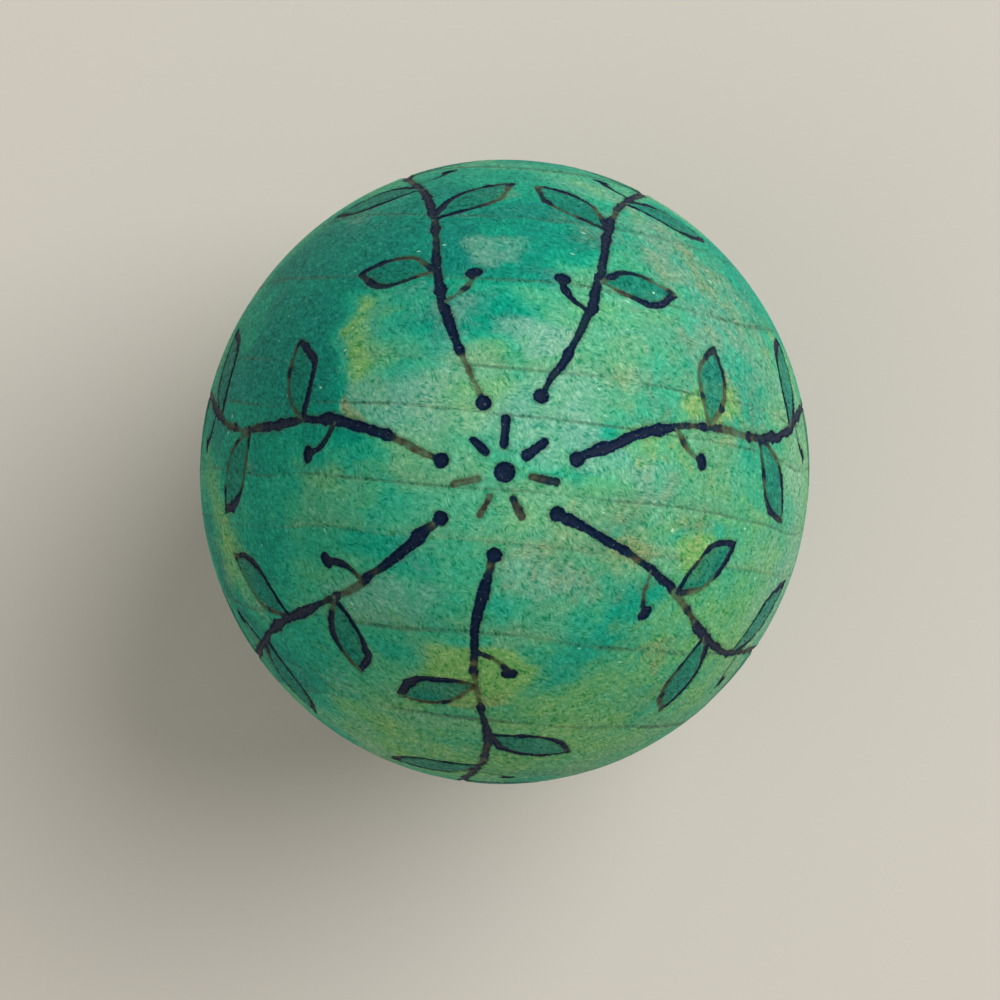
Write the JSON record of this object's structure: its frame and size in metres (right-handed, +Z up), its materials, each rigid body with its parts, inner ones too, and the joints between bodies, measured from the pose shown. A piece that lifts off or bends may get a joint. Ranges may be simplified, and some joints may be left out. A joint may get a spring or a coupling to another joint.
{
  "type": "wooden egg",
  "caption": "Turned wooden egg standing on a small flat at its blunt end, dyed green, with shallow burnt lines of leafy stems that hang from the narrow end.",
  "frame": {"origin": "middle of the small flat that the egg stands on", "axes": "+Z up the turning axis, from the blunt end to the narrow end; +X along the growth rings; +Y across the growth rings, where the egg is widest"},
  "size_m": [0.044, 0.045, 0.063],
  "materials": {
    "dyed_wood": "green dye on bare wood, satin"
  },
  "bodies": {
    "root": {"egg": "dyed_wood"}
  },
  "joints": []
}
